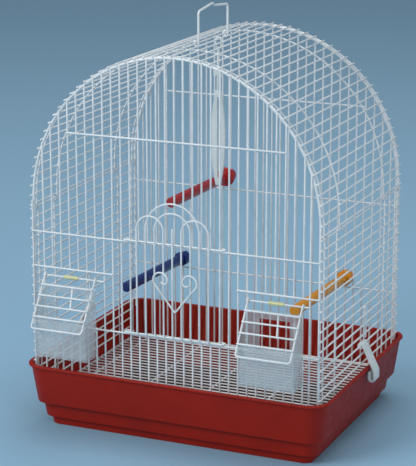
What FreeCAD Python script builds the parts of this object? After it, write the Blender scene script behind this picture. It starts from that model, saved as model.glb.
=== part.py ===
"""Bird cage with a barrel roof: a white coated wire body standing in a red moulded tray.

Frame: millimetres, +Z up, origin at the centre of the tray's underside,
+X to the right along the cage's length, front panel facing -Y.
"""
import FreeCAD, Part
import math
import os
import re

from FreeCAD import Placement, Rotation, Vector

doc = FreeCAD.newDocument("bird_cage")

# Every driving size, in millimetres, angles in degrees, counts as whole numbers
SIZES = [
    ("wire_dia", 1.9, "coated wire of the panels"),
    ("frame_dia", 3.0, "coated wire of the two end arches"),
    ("base_wire_dia", 2.5, "wire round the foot of the body"),
    ("grate_dia", 1.6, "wire of the floor grate"),
    ("weld_sink", 0.05, "how far two welded wires sink into each other"),
    ("play", 0.3, "clearance between pieces that move past each other"),
    ("eye_play", 0.2, "clearance of a wire eye on the wire it turns on"),
    ("tray_length", 346, "tray over the rim, along X"),
    ("tray_width", 275, "tray over the rim, along Y"),
    ("tray_height", 71, "underside to rim"),
    ("tray_corner", 22, "corner radius at the rim, in plan"),
    ("tray_wall", 2, "wall and floor thickness"),
    ("lip_out", 2.4, "how far the rim's lip stands out"),
    ("lip_depth", 2.5, "height of the lip"),
    ("upper_taper", 5.7, "draw-in of the upper wall"),
    ("ledge_height", 27, "underside of the ledge that carries the body"),
    ("ledge_in", 5.25, "depth of that ledge"),
    ("middle_taper", 2.5, "draw-in of the middle wall"),
    ("step_height", 10, "underside of the lower step"),
    ("step_in", 4.5, "depth of the lower step"),
    ("lower_taper", 1.75, "draw-in of the lowest wall"),
    ("corner_x", 161.6, "corner wires from the middle"),
    ("panel_y", 125, "front and back uprights from the middle"),
    ("front_shift", 3, "front uprights right of the even spacing, all but those at the corners"),
    ("foot_gap", 0.3, "body's foot above the ledge"),
    ("foot_corner", 14, "corner radius of the wire round the foot"),
    ("corner_drop", 7, "corner wires reach this far below the rim"),
    ("spring_z", 251.6, "height at which the roof starts to curve"),
    ("upright_gap_count", 32, "gaps between the uprights of an end panel"),
    ("upright_proud", 1, "upright tops past the end arch"),
    ("high_cross_z", 328, "upper cross wire of the end panels"),
    ("main_cross_z", 219, "cross wire over the door"),
    ("back_cross_z", 118.6, "lowest cross wire of the back"),
    ("feeder_head_z", 181, "cross wire over a feeder opening"),
    ("feeder_hinge_z", 172, "wire that a feeder flap hangs on"),
    ("sill_z", 119, "cross wire under the door and the feeder openings"),
    ("bar_pitch", 10.5, "side and roof bars, centre to centre"),
    ("lowest_bar_z", 42.3, "lowest side bar"),
    ("side_bar_count", 20, "bars in a side panel"),
    ("roof_bar_count", 51, "bars in the roof"),
    ("inner_post_y", 77, "inner side posts from the middle"),
    ("outer_post_y", 112.8, "outer side posts from the middle"),
    ("inner_arch_y", 70, "inner roof arches from the middle"),
    ("outer_arch_y", 115.2, "outer roof arches from the middle"),
    ("post_proud", 1.5, "side posts above the top side bar"),
    ("roof_hook_radius", 2.05, "curl of a roof arch round the top side bar"),
    ("roof_hook_tail", 3, "straight end of that curl"),
    ("grate_rod_count", 27, "rods of the floor grate"),
    ("grate_pitch", 8.7, "grate rods, centre to centre"),
    ("runner_x", 70, "spacing of the runners under the grate"),
    ("door_hook_out", 3, "centre of a rail's end hook past its guide wire"),
    ("door_tail", 5.5, "straight end of a rail's hook behind the guide wire"),
    ("door_spring_z", 234.5, "height at which the door's arches start"),
    ("door_stub_z", 238.7, "top of the door's middle wire"),
    ("middle_hairpin_dia", 1.8, "wire of the two middle hairpins, which the outer two cross"),
    ("heart_x", 3.6, "heart right of the door's middle"),
    ("heart_tip_z", 150.2, "tip of the heart"),
    ("heart_lobe_z", 183.5, "centre height of its lobes"),
    ("heart_lobe_x", 16.5, "lobe centres from the heart's middle"),
    ("heart_lobe_radius", 8, "lobe of the heart"),
    ("heart_curl_radius", 3.9, "inner curl of the heart"),
    ("flap_length", 60.3, "hinge to the flap's bottom wire"),
    ("flap_width", 61, "flap over its outer wires"),
    ("flap_gap", 0.3, "flap and cup off the upright on their left"),
    ("flap_tilt", 34, "lean of a resting flap from upright, degrees"),
    ("flap_bar_pitch", 11.9, "bars of a flap, centre to centre"),
    ("flap_corner", 3, "bend radius at the flap's lower corners"),
    ("flap_stub_x", 6.2, "top of the short middle wire off the flap's centre"),
    ("flap_stub_foot_x", 10.2, "foot of that wire, which stands a little aslant"),
    ("sleeve_length", 17, "sleeve on a feeder hinge wire"),
    ("sleeve_dia", 4, "outside of the sleeve"),
    ("sleeve_play", 0.05, "bore of the sleeve round the wire"),
    ("sleeve_shift", 1, "sleeve off the flap's centre"),
    ("cup_width", 61, "cup outside, along X"),
    ("cup_depth", 26, "cup outside at its rim, along Y"),
    ("cup_draft", 2, "draw-in of the cup's front wall"),
    ("cup_wall", 1.6, "cup wall and floor"),
    ("cup_bottom_z", 89, "underside of the cup"),
    ("cup_cheek_z", 163.5, "top of the cup's side cheeks"),
    ("cup_window_side", 14, "window in the cup's back off its sides"),
    ("cup_window_drop", 8, "window in the cup's back below the cheeks' top"),
    ("cup_tab_width", 6, "hook tab on the cup's back"),
    ("cup_tab_drop", 3, "how far a tab reaches down behind its wire"),
    ("cup_lift", 4, "travel that frees the tabs"),
    ("handle_dia", 2.5, "wire of the carrying handle"),
    ("handle_half", 38.7, "handle feet from the middle, along Y"),
    ("handle_left_rise", 33.3, "front shoulder above the hinge bar"),
    ("handle_right_rise", 31.6, "back shoulder above the hinge bar"),
    ("handle_bump_rise", 37.6, "top of the middle bump above the hinge bar"),
    ("handle_bump_y", 2.4, "bump off the middle, towards the front"),
    ("handle_dip_rise", 34.6, "foot of the bump above the hinge bar"),
    ("handle_dip_y", 4.2, "foot of the bump off the middle, towards the back"),
    ("handle_bend", 4, "bend radius at the shoulders"),
    ("hanger_y", 5, "hanging ornament off the middle, towards the front"),
    ("hanger_loop_width", 8, "loop over the ridge bar"),
    ("hanger_loop_height", 13, "height of that loop"),
    ("hanger_loop_dia", 1.8, "thickness of the loop"),
    ("hanger_neck_dia", 3.2, "neck under the loop"),
    ("hanger_neck_length", 22, "loop to block"),
    ("hanger_block_width", 10, "block, along X"),
    ("hanger_block_height", 8, "block, along Z"),
    ("hanger_block_depth", 4, "block, along Y"),
    ("hanger_stem_dia", 4, "stem under the block"),
    ("hanger_stem_length", 15, "block to leaf"),
    ("leaf_length", 104, "leaf, top to bottom"),
    ("leaf_width", 16.6, "leaf at its middle"),
    ("leaf_end_width", 5.4, "leaf at its ends"),
    ("leaf_depth", 3, "leaf thickness"),
    ("leaf_slit", 1.6, "slit down the leaf's middle"),
    ("leaf_slit_end", 8, "slit to the leaf's ends"),
    ("perch_dia", 11.5, "perch rods"),
    ("red_perch_x", 45.45, "red perch left of the middle"),
    ("red_perch_z", 234, "red perch at the back panel"),
    ("red_perch_length", 149, "red rod"),
    ("red_perch_tilt", 1.5, "rise to the front, degrees"),
    ("flange_dia", 22, "flange of the red perch"),
    ("flange_depth", 3, "its thickness"),
    ("perch_neck_dia", 6.5, "neck between two uprights"),
    ("knob_dia", 15, "knob outside the back panel"),
    ("knob_depth", 10, "its length"),
    ("side_perch_z", 130, "blue and orange perches at the back panel"),
    ("blue_upright_count", 6, "upright that the blue perch grips"),
    ("orange_upright_count", 26, "upright that the orange perch grips"),
    ("blue_perch_length", 146, "blue rod"),
    ("orange_perch_length", 155, "orange rod"),
    ("side_perch_tilt", 2.3, "rise to the front, degrees"),
    ("blue_head_dia", 16.5, "slotted head of the blue perch"),
    ("orange_head_dia", 17.6, "slotted head of the orange perch"),
    ("perch_head_depth", 11, "length of a slotted head"),
    ("head_slot_depth", 6, "slot that takes the upright"),
    ("head_slot_play", 0.6, "upright to the slot's bottom"),
    ("clip_y", 7, "tray clips off the middle, towards the back"),
    ("clip_bar_count", 5, "side bar that a clip hangs on, counted from the lowest"),
    ("clip_thick", 2.4, "thickness of a tray clip"),
    ("clip_width", 14, "width of a tray clip, along Y"),
    ("clip_reach", 6.5, "clip's lower bend past the rim"),
    ("clip_bite", 0.8, "clip's tip under the lip"),
    ("clip_tip_gap", 1.8, "clip's tip below the lip"),
    ("clip_knee", 4, "clip's lever ends this far below the rim"),
    ("clip_drop", 14.5, "centre line of the clip's hook below the rim, at its lowest"),
    ("clip_bend", 8, "bend radius where the lever meets the hook"),
    ("hairpin_top_z", 137.5, "top of the hairpin beside a clip"),
    ("hairpin_foot_z", 101.5, "foot of the hairpin"),
    ("hairpin_half", 3.2, "hairpin legs from its middle"),
]

# Share of the inset by which the tray's corner radius shrinks lower down
TRAY_CORNER_SHARE = 0.55
# Share of a full turn that a wire eye wraps round the wire it turns on
EYE_TURN_SHARE = 0.83
# Share of a half turn that the heart's inner curl takes
CURL_SHARE = 0.85

sheet = doc.addObject("Spreadsheet::Sheet", "Sizes")
for row, (alias, value, note) in enumerate(SIZES, start=1):
    sheet.set(f"A{row}", alias)
    sheet.set(f"B{row}", str(value))
    sheet.set(f"C{row}", note)
    sheet.setAlias(f"B{row}", alias)
doc.recompute()
ALIASES = {alias for alias, _, _ in SIZES}


def formula(text):
    """Write a formula of size names as an expression that reads the sheet."""
    return re.sub(r"[a-z_][a-z0-9_]*", lambda word: f"Sizes.{word.group(0)}"
                  if word.group(0) in ALIASES else word.group(0), text)


def number(text):
    """Value of a formula of size names."""
    return float(sheet.evalExpression(formula(text)))


def count(alias):
    return int(round(number(alias)))


def bind(thing, prop, text):
    thing.setExpression(prop, formula(text))


TURNS = {"X": Rotation(Vector(0, 1, 0), 90), "Y": Rotation(Vector(1, 0, 0), -90), "Z": Rotation()}


def rod(name, dia, start, length, along):
    """One straight wire from start, a triple of formulas, along a main axis."""
    wire = doc.addObject("Part::Cylinder", name)
    wire.Placement = Placement(Vector(), TURNS[along])
    bind(wire, "Radius", f"({dia}) / 2")
    bind(wire, "Height", length)
    for axis, place in zip("xyz", start):
        bind(wire, f"Placement.Base.{axis}", place)
    return wire


def across(name, dia, half, y, z):
    """A wire along X, as long on both sides of the middle."""
    return rod(name, dia, (f"-({half})", y, z), f"2 * ({half})", "X")


def deep(name, dia, half, x, z):
    """A wire along Y, as long on both sides of the middle."""
    return rod(name, dia, (x, f"-({half})", z), f"2 * ({half})", "Y")


def upright(name, dia, x, y, low, high):
    return rod(name, dia, (x, y, low), f"({high}) - ({low})", "Z")


NODES = []


def node(label, pieces):
    """One sub-part made of separate wires."""
    group = doc.addObject("Part::Compound", label)
    group.Links = pieces
    group.Label = label
    NODES.append(group)
    return group


def feature(label, shape, placement=None):
    """One sub-part whose shape is worked out from the sheet's values."""
    thing = doc.addObject("Part::Feature", label)
    thing.Shape = shape
    if placement is not None:
        thing.Placement = placement
    thing.Label = label
    return thing


def single(label, shape, placement=None):
    thing = feature(label, shape, placement)
    NODES.append(thing)
    return thing


def bends(points, radii):
    """Edges of a path through points, rounded at each inner point by its radius."""
    edges = []
    here = points[0]
    for before, corner, after, radius in zip(points, points[1:], points[2:], radii):
        inward = (before - corner).normalize()
        outward = (after - corner).normalize()
        half_turn = inward.getAngle(outward) / 2
        run = radius / math.tan(half_turn)
        first = corner + inward * run
        last = corner + outward * run
        middle_way = (inward + outward).normalize()
        middle = corner + middle_way * (radius / math.sin(half_turn) - radius)
        if (first - here).Length > number("weld_sink"):
            edges.append(Part.LineSegment(here, first).toShape())
        else:
            first = here
        edges.append(Part.Arc(first, middle, last).toShape())
        here = last
    if (points[-1] - here).Length > number("weld_sink"):
        edges.append(Part.LineSegment(here, points[-1]).toShape())
    return edges


def bent(edges, section):
    """One solid along edges that follow each other smoothly. A section is a wire at a start and tangent."""
    runs = []
    for edge in edges:
        start = edge.valueAt(edge.FirstParameter)
        face = Part.Face(section(start, edge.tangentAt(edge.FirstParameter)))
        if isinstance(edge.Curve, Part.Line):
            runs.append(face.extrude(edge.valueAt(edge.LastParameter) - start))
        else:
            sweep = math.degrees(edge.LastParameter - edge.FirstParameter)
            runs.append(face.revolve(edge.Curve.Center, edge.Curve.Axis, sweep))
    solid = runs[0].multiFuse(runs[1:]) if len(runs) > 1 else runs[0]
    share = solid.Volume / (face.Area * sum(edge.Length for edge in edges))
    if len(solid.Solids) != 1 or abs(share - 1) > BENT_SHARE_LIMIT:
        raise ValueError(f"bent piece has {len(solid.Solids)} solids and {share:.3f} of its volume")
    return solid.Solids[0]


def round_wire(edges, dia):
    """A round wire along edges."""
    return bent(edges, lambda start, along: Part.Wire(Part.makeCircle(dia / 2, start, along)))


def flat_band(edges, thick, width):
    """A flat band along edges that lie square to Y, its width along Y."""
    def section(start, along):
        across = Vector(0, 1, 0).cross(along).normalize() * (thick / 2)
        side = Vector(0, width / 2, 0)
        corners = [start + across + side, start - across + side, start - across - side,
                   start + across - side]
        return Part.makePolygon(corners + corners[:1])
    return bent(edges, section)


# How far a bent piece's volume may stand from its section times its length, as a share
BENT_SHARE_LIMIT = 0.02

# Heights and layers that several panels share
FOOT_Z = "(ledge_height + tray_wall + foot_gap)"
LAYER = "(wire_dia - weld_sink)"
CROSS_Y = f"(panel_y + {LAYER})"
BAR_X = f"(corner_x + {LAYER})"
END_Y = "(panel_y + wire_dia / 2)"
FRAME_RADIUS = "(corner_x + wire_dia / 2 - frame_dia / 2)"
FRAME_Y = "(panel_y - wire_dia / 2 - frame_dia / 2 + weld_sink)"
ROOF_TOP_BAR_Z = f"(spring_z + {BAR_X})"
PITCH_X = "(2 * corner_x / upright_gap_count)"
TOP_SIDE_BAR_Z = "(lowest_bar_z + (side_bar_count - 1) * bar_pitch)"

# Uprights of the front that stop at an opening, counted from the left corner
DOOR_GAP = range(12, 21)
FEEDER_GAPS = (range(2, 8), range(25, 31))


def upright_x(index):
    return f"({index} * {PITCH_X} - corner_x)"


def front_x(index):
    """An upright of the front. Between the corner wires they stand a little to the right, but for the
    last one, which keeps clear of the tray's round corner."""
    last = count("upright_gap_count")
    if index in (0, last - 1, last):
        return upright_x(index)
    return f"({upright_x(index)} + front_shift)"


def arch_top(x):
    """Top of an upright that ends on the end arch."""
    return f"(spring_z + sqrt({FRAME_RADIUS}^2 - {x}^2) + upright_proud)"


def plan_wire(inset, level):
    """A rounded rectangle of the tray's plan, drawn in by an inset, at a height."""
    half_x = number(f"tray_length / 2 - ({inset})")
    half_y = number(f"tray_width / 2 - ({inset})")
    radius = number(f"tray_corner - {TRAY_CORNER_SHARE} * ({inset})")
    z = number(level)
    corners = [Vector(sx * half_x, sy * half_y, z) for sx, sy in ((1, 1), (-1, 1), (-1, -1), (1, -1))]
    middle = Vector(half_x, 0, z)
    return Part.Wire(bends([middle] + corners + [middle], [radius] * 4))


def tier(low, high):
    """A drawn-in wall between two plans, each an inset and a height."""
    return Part.makeLoft([plan_wire(*low), plan_wire(*high)], True, True)


def base_tray():
    """Tray with a stepped wall, drawn in lower down, a lip at the rim and an even wall."""
    upper_in = "(lip_out + upper_taper)"
    ledge_in = f"({upper_in} + ledge_in)"
    middle_in = f"({ledge_in} + middle_taper)"
    step_in = f"({middle_in} + step_in)"
    lowest_in = f"({step_in} + lower_taper)"
    under_lip = "(tray_height - lip_depth)"
    outside = tier((lowest_in, "0"), (step_in, "step_height"))
    for low, high in (((middle_in, "step_height"), (ledge_in, "ledge_height")),
                      ((upper_in, "ledge_height"), ("lip_out", under_lip)),
                      (("0", under_lip), ("0", "tray_height"))):
        outside = outside.fuse(tier(low, high))
    ledge_top = "(ledge_height + tray_wall)"
    step_top = "(step_height + tray_wall)"
    inside = None
    for low, high in (((lowest_in, "tray_wall"), (step_in, step_top)),
                      ((middle_in, step_top), (ledge_in, ledge_top)),
                      ((upper_in, ledge_top), ("lip_out", "tray_height"))):
        hollow = tier((f"{low[0]} + tray_wall", low[1]), (f"{high[0]} + tray_wall", high[1]))
        inside = hollow if inside is None else inside.fuse(hollow)
    return single("base_tray", outside.cut(inside).removeSplitter())


FOOT_X = "(corner_x - wire_dia / 2 - base_wire_dia / 2 + weld_sink)"
FOOT_Y = "(panel_y - wire_dia / 2 - base_wire_dia / 2 + weld_sink)"


def grate():
    """Rods from side to side on the foot wire, with runners under them."""
    rods_z = f"({FOOT_Z} + base_wire_dia + grate_dia / 2 - weld_sink)"
    runner_z = f"({rods_z} - grate_dia + weld_sink)"
    middle = (count("grate_rod_count") - 1) // 2
    rods = [across("grate_rod", "grate_dia", FOOT_X, f"{index - middle} * grate_pitch", rods_z)
            for index in range(count("grate_rod_count"))]
    node("floor_grate_rods", rods)
    runner_half = f"({FOOT_Y} - base_wire_dia / 2 + weld_sink)"
    node("floor_grate_runners", [deep("grate_runner", "grate_dia", runner_half,
                                      f"{index} * runner_x", runner_z) for index in range(-2, 3)])


def body_foot():
    """One closed wire round the foot, inside the uprights and posts."""
    half_x, half_y, z = number(FOOT_X), number(FOOT_Y), number(f"{FOOT_Z} + base_wire_dia / 2")
    corners = [Vector(sx * half_x, sy * half_y, z) for sx, sy in ((1, 1), (-1, 1), (-1, -1), (1, -1))]
    middle = Vector(half_x, 0, z)
    path = bends([middle] + corners + [middle], [number("foot_corner")] * 4)
    single("body_foot_wire", round_wire(path, number("base_wire_dia")))


CORNER_FOOT_Z = "(tray_height - corner_drop)"


def end_panels():
    """Uprights and cross wires of the front and the back, with the front's three openings."""
    last = count("upright_gap_count")
    corners = [upright("corner_upright", "wire_dia", f"{x}corner_x", f"{y}panel_y", CORNER_FOOT_Z,
                       "spring_z") for x in ("-", "") for y in ("-", "")]
    node("corner_uprights", corners)
    split = set(DOOR_GAP).union(*FEEDER_GAPS)
    full = [upright("front_upright", "wire_dia", front_x(index), "-panel_y", FOOT_Z,
                    arch_top(front_x(index))) for index in range(1, last) if index not in split]
    node("front_uprights", full)
    node("back_uprights", [upright("back_upright", "wire_dia", upright_x(index), "panel_y", FOOT_Z,
                                   arch_top(upright_x(index))) for index in range(1, last)])
    for label, gap, sill, head in (("door_gap_uprights", DOOR_GAP, "sill_z", "main_cross_z"),
                                   ("feeder_gap_uprights", [*FEEDER_GAPS[0], *FEEDER_GAPS[1]],
                                    "sill_z", "feeder_head_z")):
        pieces = []
        for index in gap:
            x = front_x(index)
            pieces.append(upright("lower_upright", "wire_dia", x, "-panel_y", FOOT_Z,
                                  f"{sill} + wire_dia / 2"))
            pieces.append(upright("upper_upright", "wire_dia", x, "-panel_y", f"{head} - wire_dia / 2",
                                  arch_top(x)))
        node(label, pieces)


def cross_wires():
    """Horizontal wires welded to the outside of the end panels."""
    def between(first, last, z, front=True):
        y = f"-{CROSS_Y}" if front else CROSS_Y
        place = front_x if front else upright_x
        start = f"({place(first)} - wire_dia / 2)"
        end = f"({place(last)} + wire_dia / 2)"
        return rod("cross_wire", "wire_dia", (start, y, z), f"{end} - {start}", "X")

    last = count("upright_gap_count")
    feeders = [(gap[0] - 1, gap[-1] + 1) for gap in FEEDER_GAPS]
    front = [between(4, last - 4, "high_cross_z"), between(0, last, "main_cross_z"),
             between(0, last, "sill_z"), between(0, feeders[0][1] + 1, "feeder_head_z"),
             between(feeders[1][0] - 1, last, "feeder_head_z")]
    node("front_cross_wires", front)
    node("back_cross_wires", [between(4, last - 4, "high_cross_z", False),
                              between(0, last, "main_cross_z", False),
                              between(0, last, "back_cross_z", False)])
    node("feeder_hinge_wires", [between(*ends, "feeder_hinge_z") for ends in feeders])


def arch_edges(radius, y, foot):
    """A leg, a half circle over the cage and a leg, seen from the front."""
    spring = number("spring_z")
    left, right = Vector(-radius, y, spring), Vector(radius, y, spring)
    return [Part.LineSegment(Vector(-radius, y, foot), left).toShape(),
            Part.Arc(left, Vector(0, y, spring + radius), right).toShape(),
            Part.LineSegment(right, Vector(radius, y, foot)).toShape()]


def end_arches():
    radius, y, foot = number(FRAME_RADIUS), number(FRAME_Y), number(CORNER_FOOT_Z)
    for label, place in (("front_end_arch", -y), ("back_end_arch", y)):
        single(label, round_wire(arch_edges(radius, place, foot), number("frame_dia")))


def side_panels():
    """Bars on the outside of upright posts, from under the rim to the roof."""
    for label, sign in (("left", "-"), ("right", "")):
        bars = []
        for index in range(count("side_bar_count")):
            z = f"lowest_bar_z + {index} * bar_pitch"
            half = END_Y if number(z) > number("tray_height") else "outer_post_y + wire_dia / 2"
            bars.append(deep("side_bar", "wire_dia", half, f"{sign}{BAR_X}", z))
        node(f"{label}_side_bars", bars)
        node(f"{label}_side_posts", [upright("side_post", "wire_dia", f"{sign}corner_x", y, FOOT_Z,
                                             f"{TOP_SIDE_BAR_Z} + post_proud")
                                     for y in ("-outer_post_y", "-inner_post_y", "inner_post_y",
                                               "outer_post_y")])


def roof():
    """Bars bent over by four arches, whose ends curl round the top side bars."""
    bars = count("roof_bar_count")
    radius = number(BAR_X)
    arc = math.pi * radius
    first = (arc - (bars - 1) * number("bar_pitch")) / 2
    pieces = []
    for index in range(bars):
        run = f"((pi * {BAR_X} - (roof_bar_count - 1) * bar_pitch) / 2 + {index} * bar_pitch)"
        along = first + index * number("bar_pitch")
        if 0 <= along <= arc:
            turn = f"({run} / {BAR_X} * 1 rad)"
            x, z = f"{BAR_X} * cos({turn})", f"spring_z + {BAR_X} * sin({turn})"
        else:
            x = BAR_X if along < 0 else f"-{BAR_X}"
            z = f"spring_z + {run}" if along < 0 else f"spring_z + pi * {BAR_X} - {run}"
        pieces.append(deep("roof_bar", "wire_dia", END_Y, x, z))
    node("roof_bars", pieces)
    leg = number("corner_x")
    top_bar = number(TOP_SIDE_BAR_Z)
    curl = number("roof_hook_radius")
    tail = number("roof_hook_tail")
    for label, place in (("roof_arch_front", "-outer_arch_y"), ("roof_arch_front_inner", "-inner_arch_y"),
                         ("roof_arch_back_inner", "inner_arch_y"), ("roof_arch_back", "outer_arch_y")):
        y = number(place)
        middle = arch_edges(leg, y, top_bar)
        ends = []
        for side in (-1, 1):
            foot = Vector(side * leg, y, top_bar)
            low = Vector(side * (leg + curl), y, top_bar - curl)
            out = Vector(side * (leg + 2 * curl), y, top_bar)
            tip = out + Vector(0, 0, tail)
            ends.append([Part.LineSegment(tip, out).toShape(), Part.Arc(out, low, foot).toShape()])
        edges = ends[0] + middle + [edge for edge in reversed(ends[1])]
        single(label, round_wire(edges, number("wire_dia")))


DOOR_RAIL_Y = f"({CROSS_Y} + wire_dia + play)"
DOOR_WIRE_Y = f"({DOOR_RAIL_Y} + {LAYER})"
HEART_Y = f"({DOOR_WIRE_Y} + {LAYER})"
DOOR_TOP_Z = "(main_cross_z + wire_dia + play)"
DOOR_BOTTOM_Z = "(sill_z + wire_dia + play)"


def door_grille():
    """Nine door wires: four hairpins of different widths and a straight one, welded in one plane."""
    dia = number("wire_dia")
    y = -number(DOOR_WIRE_Y)
    middle_dia = number("middle_hairpin_dia")
    middle_y = y + (dia - middle_dia) / 2
    foot = number(f"{DOOR_BOTTOM_Z} - wire_dia / 2")
    spring = number("door_spring_z")
    middle = (DOOR_GAP[0] + DOOR_GAP[-1]) // 2
    pitch = number(PITCH_X)
    solid = None
    for left, right, layer, thick in ((-4, -1, y, dia), (1, 4, y, dia),
                                      (-2, 2, middle_y, middle_dia), (-3, 3, middle_y, middle_dia)):
        low, high = Vector(left * pitch, layer, foot), Vector(right * pitch, layer, foot)
        low_spring, high_spring = Vector(low.x, layer, spring), Vector(high.x, layer, spring)
        crown = Vector((low.x + high.x) / 2, layer, spring + (high.x - low.x) / 2)
        hairpin = round_wire([Part.LineSegment(low, low_spring).toShape(),
                              Part.Arc(low_spring, crown, high_spring).toShape(),
                              Part.LineSegment(high_spring, high).toShape()], thick)
        solid = hairpin if solid is None else solid.fuse(hairpin)
    stub = Part.makeCylinder(dia / 2, number("door_stub_z") - foot, Vector(0, y, foot))
    return solid, stub, number(front_x(middle))


def door():
    grille, stub, middle_x = door_grille()
    place = Placement(Vector(middle_x, 0, 0), Rotation())
    single("door_hairpins", grille, place)
    single("door_middle_wire", stub, place)
    dia = number("wire_dia")
    rail_y = number(DOOR_RAIL_Y)
    inner_y = number("panel_y - wire_dia - eye_play")
    radius = (rail_y - inner_y) / 2
    hook_x = number(f"{(DOOR_GAP[-1] - DOOR_GAP[0] + 2) // 2} * {PITCH_X} + door_hook_out")
    tail = number("door_tail")
    for label, level in (("door_top_rail", DOOR_TOP_Z), ("door_bottom_rail", DOOR_BOTTOM_Z)):
        z = number(level)
        out = hook_x + radius
        points = [Vector(tail - hook_x, -inner_y, z), Vector(-out, -inner_y, z), Vector(-out, -rail_y, z),
                  Vector(out, -rail_y, z), Vector(out, -inner_y, z), Vector(hook_x - tail, -inner_y, z)]
        single(label, round_wire(bends(points, [radius] * 4), dia), place)
    single("door_heart", heart(), place)


def heart():
    """Two scrolls that curl inwards and meet in a point."""
    y = -number(HEART_Y)
    lobe_z = number("heart_lobe_z")
    lobe_x = number("heart_lobe_x")
    lobe = number("heart_lobe_radius")
    curl = number("heart_curl_radius")
    drop = lobe_z - number("heart_tip_z")
    away = math.hypot(lobe_x, drop)
    lean = math.atan2(lobe_x, drop) + math.asin(lobe / away)
    halves = []
    for side in (-1, 1):
        def spot(x, z):
            return Vector(number("heart_x") + side * x, y, lobe_z + z)
        tip = spot(0, -drop)
        shoulder = spot(lobe_x + lobe * math.cos(lean), -lobe * math.sin(lean))
        inner = spot(lobe_x - lobe, 0)
        curl_x = lobe_x - lobe + curl
        end_turn = math.pi * CURL_SHARE
        edges = [Part.LineSegment(tip, shoulder).toShape(),
                 Part.Arc(shoulder, spot(lobe_x, lobe), inner).toShape(),
                 Part.Arc(inner, spot(curl_x - curl * math.cos(end_turn / 2),
                                      -curl * math.sin(end_turn / 2)),
                          spot(curl_x - curl * math.cos(end_turn),
                               -curl * math.sin(end_turn))).toShape()]
        halves.append(round_wire(edges, number("wire_dia")))
    return halves[0].fuse(halves[1])


def eye_arc(radius, start_turn):
    """Points of a wire eye in a plane: from its open end, half way and at its start angle."""
    turn = 2 * math.pi * EYE_TURN_SHARE
    return [(radius * math.cos(start_turn - part * turn), radius * math.sin(start_turn - part * turn))
            for part in (1, 0.5, 0)]


EYE_RADIUS = "(wire_dia + eye_play)"
FLAP_CENTRES = {"left": f"({front_x(FEEDER_GAPS[0][0] - 1)} + wire_dia / 2 + flap_gap + flap_width / 2)",
                "right": f"({front_x(FEEDER_GAPS[1][0] - 1)} + wire_dia / 2 + flap_gap + flap_width / 2)"}


def feeder_flaps():
    """Wire flaps that hang on the feeder hinge wires and lean on the cups."""
    dia = number("wire_dia")
    eye = number(EYE_RADIUS)
    length = number("flap_length")
    half = number("flap_width / 2 - wire_dia / 2")
    lean = Rotation(Vector(1, 0, 0), -number("flap_tilt"))
    for side, centre in FLAP_CENTRES.items():
        hinge = Vector(number(centre), -number(CROSS_Y), number("feeder_hinge_z"))
        place = Placement(hinge, lean)
        ends = eye_arc(eye, math.pi)
        eyes = []
        for x in (-half, half):
            first, middle, last = [Vector(x, a, b) for a, b in ends]
            eyes.append(Part.Arc(first, middle, last).toShape())
        corners = [Vector(-half, -eye, 0), Vector(-half, -eye, -length), Vector(half, -eye, -length),
                   Vector(half, -eye, 0)]
        frame = bends(corners, [number("flap_corner")] * 2)
        single(f"feeder_flap_{side}_frame", round_wire([eyes[0], *frame, eyes[1]], dia), place)
        bars = []
        bar_y = -number(f"{EYE_RADIUS} + {LAYER}")
        for step in range(1, 5):
            start = Vector(-half - dia / 2, bar_y, -step * number("flap_bar_pitch"))
            bars.append(Part.makeCylinder(dia / 2, number("flap_width"), start, Vector(1, 0, 0)))
        stub_top = Vector(number("flap_stub_x"), -eye, -number("flap_bar_pitch - wire_dia / 2"))
        stub_foot = Vector(number("flap_stub_foot_x"), -eye, -number("3 * flap_bar_pitch + wire_dia / 2"))
        stub_run = stub_foot - stub_top
        stub = Part.makeCylinder(dia / 2, stub_run.Length, stub_top, stub_run)
        single(f"feeder_flap_{side}_bars", Part.makeCompound(bars + [stub]), place)


def hinge_sleeves():
    """Plastic sleeves on the feeder hinge wires, inside the flaps."""
    pieces = []
    for centre in FLAP_CENTRES.values():
        start = (f"{centre} - sleeve_length / 2 + sleeve_shift", f"-{CROSS_Y}", "feeder_hinge_z")
        sleeve = doc.addObject("Part::Cut", "hinge_sleeve")
        sleeve.Base = rod("sleeve_outside", "sleeve_dia", start, "sleeve_length", "X")
        sleeve.Tool = rod("sleeve_bore", "wire_dia + 2 * sleeve_play", start, "sleeve_length", "X")
        pieces.append(sleeve)
    node("hinge_sleeves", pieces)


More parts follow.
